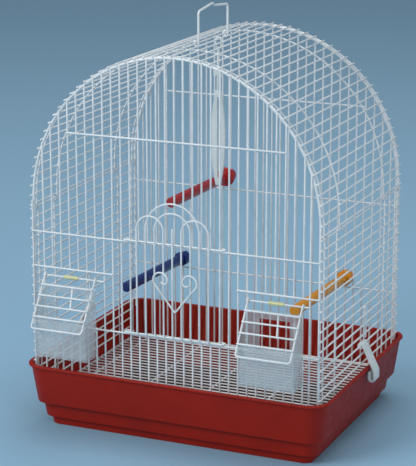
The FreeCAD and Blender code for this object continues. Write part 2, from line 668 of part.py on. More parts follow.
def feeder_cups():
    """Seed cups outside the front, with cheeks under the flap and tabs over the sill wire."""
    wall = number("cup_wall")
    width = number("cup_width")
    back_y = -number(f"{CROSS_Y} + wire_dia / 2 + play")
    front_y = back_y - number("cup_depth")
    low = number("cup_bottom_z")
    cheek = number("cup_cheek_z")
    lean = math.radians(number("flap_tilt"))
    reach = -front_y - number(CROSS_Y)
    spare = number(f"{EYE_RADIUS} - wire_dia / 2 - play")
    front_top = number("feeder_hinge_z") - (reach * math.cos(lean) - spare) / math.sin(lean)
    draft = number("cup_draft")
    sill = number("sill_z")
    tab_top = sill + number("wire_dia / 2 + play") + wall
    for side, centre in FLAP_CENTRES.items():
        x = number(centre) - width / 2

        def slab(points, start, span):
            corners = [Vector(start, y, z) for y, z in points]
            return Part.Face(Part.makePolygon(corners + corners[:1])).extrude(Vector(span, 0, 0))
        outside = slab([(back_y, low), (front_y + draft, low), (front_y, front_top), (back_y, cheek)],
                       x, width)
        above = cheek + wall
        lean_in = draft * (front_top - low - wall) / (front_top - low)
        over = draft * (above - front_top) / (front_top - low)
        inside = slab([(back_y - wall, low + wall), (front_y + lean_in + wall, low + wall),
                       (front_y - over + wall, above), (back_y - wall, above)], x + wall,
                      width - 2 * wall)
        side_strip = number("cup_window_side")
        window_top = cheek - number("cup_window_drop")
        window = slab([(back_y - 2 * wall, tab_top), (back_y - 2 * wall, window_top),
                       (back_y + wall, window_top), (back_y + wall, tab_top)], x + side_strip,
                      width - 2 * side_strip)
        cup = outside.cut(inside).cut(window)
        behind = -number(CROSS_Y) + number("wire_dia / 2 + play")
        foot = sill - number("cup_tab_drop - wire_dia / 2")
        pitch = number(PITCH_X)
        first = number(front_x(FEEDER_GAPS[0 if side == "left" else 1][0])) + pitch / 2
        for step in (0, 4):
            start = first + step * pitch - number("cup_tab_width") / 2
            hook = slab([(back_y, tab_top), (behind + wall, tab_top), (behind + wall, foot),
                         (behind, foot), (behind, tab_top - wall), (back_y, tab_top - wall)],
                        start, number("cup_tab_width"))
            cup = cup.fuse(hook)
        single(f"feeder_cup_{side}", cup.removeSplitter())


def carry_handle():
    """Wire handle that folds about the roof bar beside the ridge."""
    dia = number("handle_dia")
    turn = number("bar_pitch") / number(BAR_X)
    bar = Vector(-number(BAR_X) * math.sin(turn), 0,
                 number("spring_z") + number(BAR_X) * math.cos(turn))
    eye = number("wire_dia / 2 + eye_play + handle_dia / 2")
    half = number("handle_half")
    ends = eye_arc(eye, 0)
    arcs = []
    for y in (-half, half):
        first, middle, last = [Vector(a, y, b) for a, b in ends]
        arcs.append(Part.Arc(first, middle, last).toShape())
    bump_y, dip_y = -number("handle_bump_y"), number("handle_dip_y")
    points = [Vector(eye, -half, 0), Vector(eye, -half, number("handle_left_rise")),
              Vector(eye, bump_y, number("handle_bump_rise")), Vector(eye, dip_y, number("handle_dip_rise")),
              Vector(eye, half, number("handle_right_rise")), Vector(eye, half, 0)]
    bend = number("handle_bend")
    single("carry_handle", round_wire([arcs[0], *bends(points, [bend] * 4), arcs[1]], dia),
           Placement(bar, Rotation()))


def hanger():
    """Ornament on the ridge bar: a loop with neck and block, and a slit leaf under them."""
    y = -number("hanger_y")
    dia = number("hanger_loop_dia")
    half = number("hanger_loop_width - hanger_loop_dia") / 2
    top = number(f"{ROOF_TOP_BAR_Z} + wire_dia / 2 + weld_sink + hanger_loop_dia")
    high = top - dia / 2 - half
    low = top - number("hanger_loop_height") + dia / 2 + half
    loop = round_wire([Part.LineSegment(Vector(-half, y, low), Vector(-half, y, high)).toShape(),
                       Part.Arc(Vector(-half, y, high), Vector(0, y, high + half),
                                Vector(half, y, high)).toShape(),
                       Part.LineSegment(Vector(half, y, high), Vector(half, y, low)).toShape(),
                       Part.Arc(Vector(half, y, low), Vector(0, y, low - half),
                                Vector(-half, y, low)).toShape()], dia)
    under_loop = low - half
    neck_end = under_loop - number("hanger_neck_length")
    neck = Part.makeCylinder(number("hanger_neck_dia") / 2, under_loop - neck_end, Vector(0, y, neck_end))
    width, depth, height = [number(f"hanger_block_{side}") for side in ("width", "depth", "height")]
    block = Part.makeBox(width, depth, height, Vector(-width / 2, y - depth / 2, neck_end - height))
    stem_end = neck_end - height - number("hanger_stem_length")
    stem = Part.makeCylinder(number("hanger_stem_dia") / 2, number("hanger_stem_length"),
                             Vector(0, y, stem_end))
    single("hanger_loop", loop.fuse([neck, block, stem]))
    end, wide = number("leaf_end_width") / 2, number("leaf_width") / 2
    length, thick = number("leaf_length"), number("leaf_depth")
    face_y = y - thick / 2
    corners = {(side, level): Vector(side * end, face_y, stem_end - level * length)
               for side in (-1, 1) for level in (0, 1)}
    edges = [Part.LineSegment(corners[-1, 0], corners[1, 0]).toShape(),
             Part.Arc(corners[1, 0], Vector(wide, face_y, stem_end - length / 2), corners[1, 1]).toShape(),
             Part.LineSegment(corners[1, 1], corners[-1, 1]).toShape(),
             Part.Arc(corners[-1, 1], Vector(-wide, face_y, stem_end - length / 2),
                      corners[-1, 0]).toShape()]
    leaf = Part.Face(Part.Wire(edges)).extrude(Vector(0, thick, 0))
    slit, margin = number("leaf_slit"), number("leaf_slit_end")
    gap = Part.makeBox(slit, 2 * thick, length - 2 * margin,
                       Vector(-slit / 2, y - thick, stem_end - length + margin))
    single("hanger_leaf", leaf.cut(gap))


def turned(dia, start, length):
    """A round piece along +Y from start, in a perch's own frame."""
    return Part.makeCylinder(dia / 2, length, Vector(0, start, 0), Vector(0, 1, 0))


def perches():
    """Three rods that run in from the back panel and rise a little to the front."""
    dia = number("perch_dia")
    panel, wire, play = number("panel_y"), number("wire_dia"), number("play")
    tilt = Rotation(Vector(1, 0, 0), -number("red_perch_tilt"))
    place = Placement(Vector(-number("red_perch_x"), panel, number("red_perch_z")), tilt)
    inner = -wire / 2 - play
    flange = number("flange_depth")
    length = number("red_perch_length")
    single("perch_red_flange", turned(number("flange_dia"), inner - flange, flange), place)
    single("perch_red_rod", turned(dia, inner - flange - length, length), place)
    neck = turned(number("perch_neck_dia"), inner, -2 * inner)
    single("perch_red_knob", neck.fuse(turned(number("knob_dia"), -inner, number("knob_depth"))), place)
    tilt = Rotation(Vector(1, 0, 0), -number("side_perch_tilt"))
    for name in ("blue", "orange"):
        x = number(upright_x(count(f"{name}_upright_count")))
        place = Placement(Vector(x, panel, number("side_perch_z")), tilt)
        depth, slot = number("perch_head_depth"), number("head_slot_depth")
        slot_end = -wire / 2 - number("head_slot_play")
        head_dia = number(f"{name}_head_dia")
        head = turned(head_dia, slot_end + slot - depth, depth)
        wide = wire + 2 * number("eye_play")
        gap = Part.makeBox(wide, depth, 2 * head_dia, Vector(-wide / 2, slot_end, -head_dia))
        single(f"perch_{name}_head", head.cut(gap), place)
        length = number(f"{name}_perch_length")
        single(f"perch_{name}_rod", turned(dia, slot_end + slot - depth - length, length), place)


def tray_clips():
    """Moulded clips on the sides that hook under the tray's lip, and the hairpin wires over them."""
    wire = number("wire_dia")
    thick, width = number("clip_thick"), number("clip_width")
    bar = Vector(number(BAR_X), number("clip_y"), number("lowest_bar_z + clip_bar_count * bar_pitch"))
    eye = number("wire_dia / 2 + eye_play + clip_thick / 2")
    rim_x, rim_z = number("tray_length / 2"), number("tray_height")
    outer_x = rim_x + number("clip_reach")
    tip_x = rim_x - number("clip_bite") + thick / 2
    knee = Vector(outer_x, bar.y, rim_z - number("clip_knee"))
    low = rim_z - number("clip_drop")
    tip = Vector(tip_x, bar.y, number("tray_height - lip_depth - clip_tip_gap"))
    reach = knee - bar
    away = math.hypot(reach.x, reach.z)
    touch = math.atan2(reach.z, reach.x) + math.acos(eye / away)
    turn = 2 * math.pi * EYE_TURN_SHARE
    start = [bar + Vector(eye * math.cos(touch + part * turn), 0, eye * math.sin(touch + part * turn))
             for part in (1, 0.5, 0)]
    bottom = (outer_x - tip_x) / 2
    points = [start[2], knee, Vector(outer_x, bar.y, low), Vector(tip_x, bar.y, low), tip]
    edges = [Part.Arc(*start).toShape(), *bends(points, [number("clip_bend"), bottom, bottom])]
    clip = flat_band(edges, thick, width)
    half = number("hairpin_half")
    pin_x = number(f"{BAR_X} + {LAYER}")
    high, foot = number("hairpin_top_z"), number("hairpin_foot_z")
    legs = [Vector(pin_x, bar.y - half, foot), Vector(pin_x, bar.y - half, high),
            Vector(pin_x, bar.y + half, high), Vector(pin_x, bar.y + half, foot)]
    hairpin = round_wire(bends(legs, [half] * 2), wire)
    mirror = (Vector(), Vector(1, 0, 0))
    single("tray_clip_right", clip)
    single("tray_clip_left", clip.mirror(*mirror))
    single("clip_hairpins", Part.makeCompound([hairpin, hairpin.mirror(*mirror)]))


def check_and_write():
    """Refuse a failed feature or a broken shape, then write each sub-part."""
    doc.recompute()
    for thing in doc.Objects:
        if {"Invalid", "Error"} & set(thing.State):
            raise RuntimeError(f"{thing.Label} failed: {thing.State}")
    os.makedirs("parts", exist_ok=True)
    for sub_part in NODES:
        shape = sub_part.Shape
        if shape.isNull() or not shape.isValid() or not shape.Solids:
            raise RuntimeError(f"{sub_part.Label} has no sound solid")
        shape.exportStep(os.path.join("parts", f"{sub_part.Label}.step"))
        box = shape.BoundBox
        print(f"{sub_part.Label:28s} {len(shape.Solids):3d} solids {shape.Volume:10.0f} mm3  "
              f"x {box.XMin:7.1f} {box.XMax:7.1f}  y {box.YMin:7.1f} {box.YMax:7.1f}  "
              f"z {box.ZMin:7.1f} {box.ZMax:7.1f}")


base_tray()
body_foot()
grate()
end_panels()
cross_wires()
end_arches()
side_panels()
roof()
door()
feeder_flaps()
hinge_sleeves()
feeder_cups()
carry_handle()
hanger()
perches()
tray_clips()
check_and_write()
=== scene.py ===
"""Barrel-roofed wire bird cage on a red moulded tray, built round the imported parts."""
import math

import bmesh
import bpy
import numpy as np
from mathutils import Matrix, Quaternion, Vector


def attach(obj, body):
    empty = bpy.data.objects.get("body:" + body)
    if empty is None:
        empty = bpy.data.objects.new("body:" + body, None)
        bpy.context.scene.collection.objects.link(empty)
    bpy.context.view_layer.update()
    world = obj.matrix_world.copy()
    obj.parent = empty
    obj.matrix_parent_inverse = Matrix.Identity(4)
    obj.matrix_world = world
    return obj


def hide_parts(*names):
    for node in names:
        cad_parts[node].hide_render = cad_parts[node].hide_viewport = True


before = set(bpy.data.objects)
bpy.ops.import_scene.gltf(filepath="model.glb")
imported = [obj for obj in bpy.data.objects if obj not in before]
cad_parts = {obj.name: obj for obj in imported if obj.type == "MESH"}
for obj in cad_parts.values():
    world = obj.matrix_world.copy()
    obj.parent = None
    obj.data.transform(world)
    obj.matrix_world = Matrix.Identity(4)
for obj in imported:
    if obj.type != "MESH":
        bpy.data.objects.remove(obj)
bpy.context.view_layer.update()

# Tray: one injection moulding in red polypropylene. Its wall steps in twice on the way down, the
# upper ledge carries the wire body, and a lip stiffens the rim. Every edge is eased by the mould.
MM = 0.001
TRAY_HALF_LENGTH = 173
TRAY_HALF_WIDTH = 137.5
TRAY_CORNER = 22
TRAY_CORNER_SHARE = 0.55
TRAY_MIDDLE = 32
TRAY_SECTION = (
    # drawn in from the rim, height, radius of the edge
    (TRAY_MIDDLE, 0, 0),
    (22.1, 0, 1.4),
    (20.35, 10, 0.9),
    (15.85, 10, 1.1),
    (13.35, 27, 0.9),
    (8.1, 27, 1.2),
    (2.4, 68.5, 0.5),
    (0, 68.5, 0.7),
    (0, 71, 0.9),
    (4.4, 71, 0.7),
    (10.1, 29, 1.0),
    (15.35, 29, 0.8),
    (17.85, 12, 1.0),
    (22.35, 12, 0.8),
    (24.1, 2, 1.6),
    (TRAY_MIDDLE, 2, 0),
)
EDGE_STEPS = 4
CORNER_STEPS = 12
SHARP_ANGLE = math.radians(38)
# The part of the noise that the flow clouds and the scuffs of a moulding run over. Scuffs are a sixth
# of the clouds' size, and take the gloss a little above and below its mean.
CLOUD_RANGE = (0.3, 0.65)
SCUFF_RANGE = (0.3, 0.75)
SCUFF_SHARE = 1 / 6
GLOSS_SPREAD = (-0.06, 0.12)
GRAIN_STRENGTH = 0.5


def linear(text):
    """Linear colour of an sRGB hex value."""
    shares = [int(text[at:at + 2], 16) / 255 for at in (1, 3, 5)]
    return [s / 12.92 if s <= 0.04045 else ((s + 0.055) / 1.055) ** 2.4 for s in shares] + [1]


def add(tree, kind, links=None, **settings):
    """A node with its settings. Links give each input a value or another node's output."""
    node = tree.nodes.new("ShaderNode" + kind)
    for name, value in settings.items():
        setattr(node, name, value)
    for name, value in (links or {}).items():
        if isinstance(value, bpy.types.NodeSocket):
            tree.links.new(value, node.inputs[name])
        else:
            node.inputs[name].default_value = value
    return node


def per_metre(size_mm):
    """Texture scale for a feature of this size, because coordinates are in metres."""
    return 1 / (size_mm * MM)


def moulded(name, tint, flow_tint, ior, roughness, cloud_mm, grain_mm, grain_depth_mm):
    """Moulded plastic: faint flow clouds in the pigment, a fine mould grain and uneven gloss."""
    made = bpy.data.materials.new(name)
    made.use_nodes = True
    tree = made.node_tree
    shader = tree.nodes["Principled BSDF"]
    spot = add(tree, "TexCoord").outputs["Object"]
    cloud = add(tree, "TexNoise", {"Vector": spot, "Scale": per_metre(cloud_mm), "Detail": 4})
    tone = add(tree, "ValToRGB", {"Fac": cloud.outputs["Fac"]})
    for stop, position, colour in zip(tone.color_ramp.elements, CLOUD_RANGE, (flow_tint, tint)):
        stop.position = position
        stop.color = linear(colour)
    tree.links.new(tone.outputs["Color"], shader.inputs["Base Color"])
    scuff = add(tree, "TexNoise", {"Vector": spot, "Scale": per_metre(cloud_mm * SCUFF_SHARE), "Detail": 6})
    gloss = add(tree, "MapRange", {"Value": scuff.outputs["Fac"],
                                   "From Min": SCUFF_RANGE[0], "From Max": SCUFF_RANGE[1],
                                   "To Min": roughness + GLOSS_SPREAD[0],
                                   "To Max": roughness + GLOSS_SPREAD[1]})
    tree.links.new(gloss.outputs["Result"], shader.inputs["Roughness"])
    grain = add(tree, "TexNoise", {"Vector": spot, "Scale": per_metre(grain_mm), "Detail": 2})
    relief = add(tree, "Bump", {"Height": grain.outputs["Fac"], "Strength": GRAIN_STRENGTH,
                                "Distance": grain_depth_mm * MM})
    tree.links.new(relief.outputs["Normal"], shader.inputs["Normal"])
    shader.inputs["IOR"].default_value = ior
    return made


def eased(section):
    """The section with each edge turned into a short curve of its radius. Its ends stay."""
    curve = [Vector(section[0][:2])]
    for before, here, after in zip(section, section[1:], section[2:]):
        corner = Vector(here[:2])
        back = (Vector(before[:2]) - corner).normalized()
        on = (Vector(after[:2]) - corner).normalized()
        half = back.angle(on) / 2
        run = here[2] / math.tan(half)
        for step in range(EDGE_STEPS + 1):
            part = step / EDGE_STEPS
            curve.append(corner + back * run * (1 - part) ** 2 + on * run * part ** 2)
    return curve + [Vector(section[-1][:2])]


def plan_ring(drawn_in, level):
    """One closed ring of the tray's plan."""
    radius = TRAY_CORNER - TRAY_CORNER_SHARE * drawn_in
    across = TRAY_HALF_LENGTH - drawn_in - radius
    deep = TRAY_HALF_WIDTH - drawn_in - radius
    ring = []
    for corner, (x, y) in enumerate(((across, deep), (-across, deep), (-across, -deep), (across, -deep))):
        for step in range(CORNER_STEPS + 1):
            turn = math.pi / 2 * (corner + step / CORNER_STEPS)
            ring.append((x + radius * math.cos(turn), y + radius * math.sin(turn), level))
    return ring


def piece(name, verts, faces, finish, body, slot, *nodes, sharp=SHARP_ANGLE):
    """A mesh given in millimetres that rides on a body and stands for CAD nodes."""
    mesh = bpy.data.meshes.new(name)
    mesh.from_pydata([Vector(v) * MM for v in verts], [], faces)
    work = bmesh.new()
    work.from_mesh(mesh)
    bmesh.ops.recalc_face_normals(work, faces=work.faces)
    work.to_mesh(mesh)
    work.free()
    mesh.shade_smooth()
    mesh.set_sharp_from_angle(angle=sharp)
    mesh.materials.append(finish)
    made = bpy.data.objects.new(name, mesh)
    bpy.context.collection.objects.link(made)
    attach(made, body)
    if nodes:
        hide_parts(*nodes)


# Semi-gloss polypropylene, IOR 1.49. The mould grain is about 0.4 mm across in the real one and is
# drawn at 0.9 mm so that it shows.
red_polypropylene = moulded("red_polypropylene_moulded", "#A01C07", "#911705", ior=1.49, roughness=0.48,
                            cloud_mm=60, grain_mm=0.9, grain_depth_mm=0.02)

# Washing has dulled the tray to half the shine of a fresh moulding.
TRAY_SHINE = 0.25
# Painted shade: the floor under the grate is darkened to a dull brown for the shade deep in the tray, and
# the darkening thins out up the steps. It holds where the surface lies flat, which the slope range gives as
# the upward share of its normal.
PAINTED_SHADE_TINT = "#432B22"
SHADE_FULL_Z = 3
SHADE_END_Z = 14
SHADE_SLOPE = (0.5, 0.9)
floor_tree = red_polypropylene.node_tree
tray_shader = floor_tree.nodes["Principled BSDF"]
tray_shader.inputs["Specular IOR Level"].default_value = TRAY_SHINE
unshaded_red = tray_shader.inputs["Base Color"].links[0].from_socket
# Masks of the painted shade: full low in the tray, and only where the surface lies flat
level = add(floor_tree, "SeparateXYZ", {"Vector": add(floor_tree, "TexCoord").outputs["Object"]})
facing = add(floor_tree, "SeparateXYZ", {"Vector": add(floor_tree, "NewGeometry").outputs["Normal"]})
low = add(floor_tree, "MapRange", {"Value": level.outputs["Z"], "From Min": SHADE_END_Z * MM,
                                   "From Max": SHADE_FULL_Z * MM})
lying = add(floor_tree, "MapRange", {"Value": facing.outputs["Z"], "From Min": SHADE_SLOPE[0],
                                     "From Max": SHADE_SLOPE[1]})
painted_shade = add(floor_tree, "Math", {0: low.outputs["Result"], 1: lying.outputs["Result"]},
           operation="MULTIPLY")
# Mixes the painted shade's brown into the tray's red
shaded_red = add(floor_tree, "MixRGB", {"Fac": painted_shade.outputs["Value"], "Color1": unshaded_red,
                                    "Color2": linear(PAINTED_SHADE_TINT)})
floor_tree.links.new(shaded_red.outputs["Color"], tray_shader.inputs["Base Color"])

rings = [plan_ring(*point) for point in eased(TRAY_SECTION)]
per_ring = len(rings[0])
tray_verts = [v for ring in rings for v in ring]
tray_faces = []
for start in range(0, (len(rings) - 1) * per_ring, per_ring):
    for at in range(per_ring):
        on = (at + 1) % per_ring
        tray_faces.append((start + at, start + on, start + per_ring + on, start + per_ring + at))
tray_faces.append(tuple(range(per_ring)))
tray_faces.append(tuple(range(len(tray_verts) - per_ring, len(tray_verts))))
piece("tray", tray_verts, tray_faces, red_polypropylene, "tray", "red_tray", "base_tray")

# End arches and the wire round the foot: thicker drawn steel wire, bent on a jig, welded to the
# panels and dipped in white vinyl with them, so its cut ends are rounded by the coat.
END_ARCH_RADIUS = 161.05
END_ARCH_Y = 122.6
END_ARCH_DIA = 3.0
CORNER_FOOT_Z = 64
SPRING_Z = 251.6
ARCH_STEPS = 72
FOOT_WIRE_DIA = 2.5
FOOT_WIRE_HALF_X = 159.45
FOOT_WIRE_HALF_Y = 122.85
FOOT_WIRE_Z = 30.55
FOOT_WIRE_CORNER = 14
BEND_STEP = math.radians(12)
LEAST_STEPS = 3
LEAST_RUN = 0.05
END_ROUND_SHARE = 0.7
END_ANGLES = [math.radians(turn) for turn in (30, 60, 90)]
WIRE_SIDES = 12
THICK_WIRE_SIDES = 16
FOOT_WIRE_SIDES = 14
# The coat's clouds are about 14 mm across. It runs a little before it sets, in swellings of 4 mm.
VINYL_IOR = 1.53
COAT_CLOUD = 14
COAT_CLOUD_RANGE = (0.32, 0.6)
COAT_SWELL = 4
COAT_SWELL_DEPTH = 0.15
COAT_SWELL_STRENGTH = 0.6


def dipped(name, tint, shade_tint, roughness):
    """Vinyl dip coat: glossy, a little uneven in thickness and faintly greyer in places."""
    made = bpy.data.materials.new(name)
    made.use_nodes = True
    tree = made.node_tree
    shader = tree.nodes["Principled BSDF"]
    spot = add(tree, "TexCoord").outputs["Object"]
    cloud = add(tree, "TexNoise", {"Vector": spot, "Scale": per_metre(COAT_CLOUD), "Detail": 3})
    tone = add(tree, "ValToRGB", {"Fac": cloud.outputs["Fac"]})
    for stop, position, colour in zip(tone.color_ramp.elements, COAT_CLOUD_RANGE, (shade_tint, tint)):
        stop.position = position
        stop.color = linear(colour)
    tree.links.new(tone.outputs["Color"], shader.inputs["Base Color"])
    swell = add(tree, "TexNoise", {"Vector": spot, "Scale": per_metre(COAT_SWELL), "Detail": 2})
    relief = add(tree, "Bump", {"Height": swell.outputs["Fac"], "Strength": COAT_SWELL_STRENGTH,
                                "Distance": COAT_SWELL_DEPTH * MM})
    tree.links.new(relief.outputs["Normal"], shader.inputs["Normal"])
    shader.inputs["IOR"].default_value = VINYL_IOR
    shader.inputs["Roughness"].default_value = roughness
    return made


white_vinyl_coat = dipped("white_vinyl_dip_coat", "#EDF0F1", "#DDE2E4", roughness=0.3)


def bent_line(corners, radii):
    """Centre line through corners, rounded at each inner one by its radius."""
    line = [Vector(corners[0])]
    for before, corner, after, radius in zip(corners, corners[1:], corners[2:], radii):
        corner = Vector(corner)
        back = (Vector(before) - corner).normalized()
        on = (Vector(after) - corner).normalized()
        half = back.angle(on) / 2
        first = corner + back * (radius / math.tan(half))
        centre = corner + (back + on).normalized() * (radius / math.sin(half))
        sweep = math.pi - 2 * half
        axis = on.cross(back).normalized()
        steps = max(LEAST_STEPS, round(sweep / BEND_STEP))
        for step in range(steps + 1):
            point = centre + Quaternion(axis, sweep * step / steps) @ (first - centre)
            if (point - line[-1]).length > radius * BEND_STEP / 4:
                line.append(point)
    last = Vector(corners[-1])
    if (last - line[-1]).length > LEAST_RUN:
        line.append(last)
    return line


def arch_line(radius, y, foot):
    """Centre line of a leg, a half circle over the cage and a leg."""
    line = [Vector((radius, y, foot))]
    for step in range(ARCH_STEPS + 1):
        turn = math.pi * step / ARCH_STEPS
        line.append(Vector((radius * math.cos(turn), y, SPRING_Z + radius * math.sin(turn))))
    return line + [Vector((-radius, y, foot))]


def lay_wire(shell, line, dia, closed, sides):
    """Adds a round wire to a shell of vertices and faces. Its cut ends are rounded by the coat."""
    verts, faces = shell
    radius = dia / 2
    count = len(line)
    along = []
    for at in range(count):
        before = line[at - 1] if closed or at else line[0]
        after = line[(at + 1) % count] if closed or at < count - 1 else line[-1]
        along.append((after - before).normalized())
    side = along[0].orthogonal().normalized()
    rings = []
    for at in range(count):
        if at:
            side = along[at - 1].rotation_difference(along[at]) @ side
        rings.append((line[at], along[at], side, radius))
    if not closed:
        depth = radius * END_ROUND_SHARE
        for end, inward in ((0, 1), (-1, -1)):
            tip, way, across = rings[end][:3]
            dome = []
            for turn in END_ANGLES:
                spot = tip + way * inward * depth * (1 - math.cos(turn))
                dome.append((spot, way, across, radius * math.sin(turn)))
            rings = dome + rings[1:] if end == 0 else rings[:-1] + dome[::-1]
    start = len(verts)
    for centre, way, across, size in rings:
        other = way.cross(across)
        for step in range(sides):
            turn = 2 * math.pi * step / sides
            verts.append(centre + (across * math.cos(turn) + other * math.sin(turn)) * size)
    last = len(rings) if closed else len(rings) - 1
    # a closed loop comes back turned about its centre line, by this many sides
    twist = 0
    if closed:
        home = along[-1].rotation_difference(along[0]) @ side
        lag = math.atan2(home.dot(along[0].cross(rings[0][2])), home.dot(rings[0][2]))
        twist = round(lag / (2 * math.pi) * sides)
    for ring in range(last):
        here = start + ring * sides
        wraps = closed and ring == last - 1
        there = start if wraps else here + sides
        shift = twist if wraps else 0
        for step in range(sides):
            on = (step + 1) % sides
            faces.append((here + step, here + on,
                          there + (on + shift) % sides, there + (step + shift) % sides))
    if not closed:
        for tip, ring in ((line[0], start), (line[-1], start + (len(rings) - 1) * sides)):
            verts.append(tip)
            faces.extend((ring + step, ring + (step + 1) % sides, len(verts) - 1) for step in range(sides))


# Centre lines of the wires welded into the body, for the drops of coat where they cross
body_lines = []


def wires(name, lines, body, node, weld=None, sides=WIRE_SIDES):
    """Coated wires as one piece. Lines are centre line, diameter and whether it is a closed loop."""
    shell = ([], [])
    for line, dia, closed in lines:
        lay_wire(shell, line, dia, closed, sides)
    if weld is not None:
        weld.extend(lines)
    piece(name, *shell, white_vinyl_coat, body, "white_wire", node, sharp=math.pi)


for end, y in (("front", -END_ARCH_Y), ("back", END_ARCH_Y)):
    end_arch = (arch_line(END_ARCH_RADIUS, y, CORNER_FOOT_Z), END_ARCH_DIA, False)
    wires(f"arch_{end}", [end_arch], "cage", f"{end}_end_arch", weld=body_lines, sides=THICK_WIRE_SIDES)

foot_corners = [(x * FOOT_WIRE_HALF_X, y * FOOT_WIRE_HALF_Y, FOOT_WIRE_Z)
                for x, y in ((1, 1), (-1, 1), (-1, -1), (1, -1))]
foot_start = (FOOT_WIRE_HALF_X, 0, FOOT_WIRE_Z)
foot_line = bent_line([foot_start, *foot_corners, foot_start], [FOOT_WIRE_CORNER] * 4)[:-1]
wires("foot_wire", [(foot_line, FOOT_WIRE_DIA, True)], "cage", "body_foot_wire", weld=body_lines,
      sides=FOOT_WIRE_SIDES)

# Straight wires of the floor grate, the end panels, the side panels and the roof: drawn steel wire
# cut to length, spot welded where it crosses and dipped in the same coat.
STRAIGHT_WIRES = {
    "grate_rods": "floor_grate_rods",
    "grate_runners": "floor_grate_runners",
    "uprights_corner": "corner_uprights",
    "uprights_front": "front_uprights",
    "uprights_back": "back_uprights",
    "uprights_door_gap": "door_gap_uprights",
    "uprights_feeder_gap": "feeder_gap_uprights",
    "cross_wires_front": "front_cross_wires",
    "cross_wires_back": "back_cross_wires",
    "hinge_wires": "feeder_hinge_wires",
    "bars_left": "left_side_bars",
    "bars_right": "right_side_bars",
    "posts_left": "left_side_posts",
    "posts_right": "right_side_posts",
    "bars_roof": "roof_bars",
}
# Corners of the CAD mesh that agree to this many places of a metre are one
PLACES = 6


def runs_of(node):
    """Centre line and diameter of each straight wire in a CAD node, in millimetres."""
    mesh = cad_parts[node].data
    first = {}
    group = []
    for vertex in mesh.vertices:
        key = tuple(round(c, PLACES) for c in vertex.co)
        group.append(first.setdefault(key, len(group)))

    def root(at):
        while group[at] != at:
            at = group[at]
        return at

    for face in mesh.polygons:
        heads = sorted({root(at) for at in face.vertices})
        for head in heads[1:]:
            group[head] = heads[0]
    loose = {}
    for at, vertex in enumerate(mesh.vertices):
        loose.setdefault(root(at), []).append(tuple(vertex.co / MM))
    runs = []
    for spots in loose.values():
        low, high = Vector(map(min, zip(*spots))), Vector(map(max, zip(*spots)))
        size = high - low
        axis = max(range(3), key=lambda k: size[k])
        middle = (low + high) / 2
        start, end = middle.copy(), middle.copy()
        start[axis], end[axis] = low[axis], high[axis]
        runs.append(([start, end], max(size[k] for k in range(3) if k != axis), False))
    return runs


for name, node in STRAIGHT_WIRES.items():
    wires(name, runs_of(node), "cage", node, weld=body_lines)

# Roof arches: four wires bent over the roof bars from below, their ends curled up round the top
# side bars, which is how the roof is fixed to the side panels.
ROOF_ARCH_RADIUS = 161.6
ROOF_ARCHES = {
    "roof_arch_front": -115.2,
    "roof_arch_front_inner": -70,
    "roof_arch_back_inner": 70,
    "roof_arch_back": 115.2,
}
WIRE_DIA = 1.9
TOP_BAR_Z = 241.8
HOOK_RADIUS = 2.05
HOOK_TAIL = 3
HOOK_STEPS = 10

for node, y in ROOF_ARCHES.items():
    ends = []
    for side in (1, -1):
        centre = Vector((side * (ROOF_ARCH_RADIUS + HOOK_RADIUS), y, TOP_BAR_Z))
        hook = []
        for step in range(1, HOOK_STEPS + 1):
            turn = math.pi * step / HOOK_STEPS
            hook.append(centre + Vector((-side * math.cos(turn), 0, -math.sin(turn))) * HOOK_RADIUS)
        ends.append(hook + [hook[-1] + Vector((0, 0, HOOK_TAIL))])
    line = ends[0][::-1] + arch_line(ROOF_ARCH_RADIUS, y, TOP_BAR_Z) + ends[1]
    wires(node + "_coated", [(line, WIRE_DIA, False)], "cage", node, weld=body_lines)

# Hairpin wires over the clips: the same coated steel wire, one on each side, bent double and spot
# welded to the outside of four side bars.
HAIRPIN_X = 165.3
HAIRPIN_Y = 7
HAIRPIN_HALF = 3.2
HAIRPIN_TOP_Z = 137.5
HAIRPIN_FOOT_Z = 101.5

hairpins = []
for side in (1, -1):
    low, high = HAIRPIN_Y - HAIRPIN_HALF, HAIRPIN_Y + HAIRPIN_HALF
    corners = [(side * HAIRPIN_X, low, HAIRPIN_FOOT_Z), (side * HAIRPIN_X, low, HAIRPIN_TOP_Z),
               (side * HAIRPIN_X, high, HAIRPIN_TOP_Z), (side * HAIRPIN_X, high, HAIRPIN_FOOT_Z)]
    hairpins.append((bent_line(corners, [HAIRPIN_HALF] * 2), WIRE_DIA, False))
wires("hairpins", hairpins, "cage", "clip_hairpins", weld=body_lines)

# Welds: where two wires cross, the spot weld upsets the steel and the coat gathers round it in a
# small drop.
DROP_WIDTH_SHARE = 1.25
DROP_DEPTH_SHARE = 0.6
DROP_SIDES = 8
DROP_TURNS = [math.radians(turn) for turn in (-45, 0, 45)]
DROP_SPACE = 3
TOUCH_SLACK = 0.06
PARALLEL_SHARE = 0.9
LEAST_SPREAD = 1e-9


